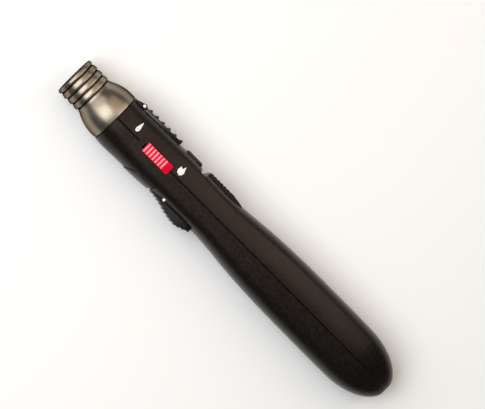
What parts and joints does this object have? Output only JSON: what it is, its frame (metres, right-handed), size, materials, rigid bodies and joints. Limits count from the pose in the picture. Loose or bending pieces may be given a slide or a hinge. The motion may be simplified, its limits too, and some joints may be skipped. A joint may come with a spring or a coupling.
{
  "type": "butane torch",
  "caption": "Pen-shaped butane torch with a metal nozzle, black two-part body, sprung trigger, lock slide and red flame adjuster; piezo spark and fuel tank inside.",
  "frame": {"origin": "centre of the bounding box, at the level of the surface the torch lies on", "axes": "+X runs along the torch to the nozzle, -Y is the thumb side, +Y the trigger side, +Z the side with the flame adjuster"},
  "size_m": [0.17, 0.0257, 0.0222],
  "materials": {
    "nozzle_metal": "dark gunmetal chrome, polished, warm tinted",
    "shell_black": "fine satin moulded plastic",
    "control_black": "satin moulded plastic with ribs",
    "grip_black": "glossy ribbed plastic",
    "adjuster_red": "translucent red plastic with raised ribs",
    "pin_steel": "bright pin ends",
    "screw_steel": "zinc plated",
    "spring_steel": "drawn wire",
    "burner_steel": "heat tinted steel",
    "brass": "turned brass",
    "carrier_metal": "die cast, satin",
    "ceramic": "white glazed ceramic",
    "piezo_plastic": "dark grey moulded plastic",
    "plunger_plastic": "natural white plastic",
    "lead_insulation": "red silicone insulation",
    "hose": "clear flexible gas hose",
    "seal_rubber": "black nitrile",
    "tank_plastic": "translucent moulded plastic",
    "wick": "felt wick"
  },
  "bodies": {
    "torch_body": {"nozzle_sleeve": "nozzle_metal", "burner_carrier": "carrier_metal", "burner_tube": "burner_steel", "burner_plate": "brass", "mixer_tube": "brass", "jet_orifice": "brass", "electrode_wire": "spring_steel", "electrode_insulator": "ceramic", "ignition_lead": "lead_insulation", "ground_strip": "spring_steel", "piezo_case": "piezo_plastic", "piezo_spring": "spring_steel", "trigger_pin": "pin_steel", "valve_body": "brass", "valve_spring": "spring_steel", "valve_ring_seal": "seal_rubber", "fuel_tank": "tank_plastic", "tank_cap": "tank_plastic", "wick": "wick", "fill_valve_body": "brass", "fill_valve_spring": "spring_steel", "fill_valve_ring_seal": "seal_rubber", "filler_collar": "pin_steel", "regulator_body": "brass", "front_gas_tube": "hose", "rear_gas_tube": "hose", "thumb_grip": "grip_black", "grip_pin": "pin_steel", "back_shell": "shell_black", "front_shell": "shell_black", "shell_screws": "screw_steel"},
    "trigger": {"trigger": "control_black"},
    "plunger": {"piezo_plunger": "plunger_plastic"},
    "outlet_stem": {"valve_stem": "brass", "valve_seal": "seal_rubber"},
    "adjuster": {"adjuster_slider": "adjuster_red"},
    "needle": {"regulator_needle": "brass"},
    "lock": {"lock_slider": "control_black"},
    "fill_stem": {"fill_valve_stem": "brass"}
  },
  "joints": [
    {"name": "trigger_pull", "type": "hinge", "parent": "torch_body", "child": "trigger", "pos_m": [0.0281, 0.0091, 0.0108], "axis": [0, 0, 1], "range_deg": [0, 14], "stiffness_Nm_per_rad": 0.02, "springref_deg": -2.86},
    {"name": "plunger_push", "type": "slide", "parent": "torch_body", "child": "plunger", "axis": [1, 0, 0], "range_m": [0, 0.0025], "deforming": ["piezo_spring"]},
    {"name": "outlet_lift", "type": "slide", "parent": "torch_body", "child": "outlet_stem", "axis": [1, 0, 0], "range_m": [0, 0.0016], "deforming": ["valve_spring"]},
    {"name": "flame_adjust", "type": "slide", "parent": "torch_body", "child": "adjuster", "axis": [1, 0, 0], "range_m": [0, 0.0026]},
    {"name": "needle_turn", "type": "hinge", "parent": "torch_body", "child": "needle", "pos_m": [0.0413, 0, 0.0153], "axis": [0, 1, 0], "range_deg": [-1, 60]},
    {"name": "lock_slide", "type": "slide", "parent": "torch_body", "child": "lock", "axis": [-1, 0, 0], "range_m": [0, 0.0018]},
    {"name": "fill_press", "type": "slide", "parent": "torch_body", "child": "fill_stem", "axis": [1, 0, 0], "range_m": [0, 0.0012], "stiffness_N_per_m": 10, "springref_m": -0.0006, "deforming": ["fill_valve_spring"]}
  ],
  "couplings": [
    {"joint": "plunger_push", "follows": "trigger_pull", "m_per_rad": 0.0097},
    {"joint": "outlet_lift", "follows": "trigger_pull", "m_per_rad": 0.0059},
    {"joint": "needle_turn", "follows": "flame_adjust", "rad_per_m": 386.42}
  ]
}
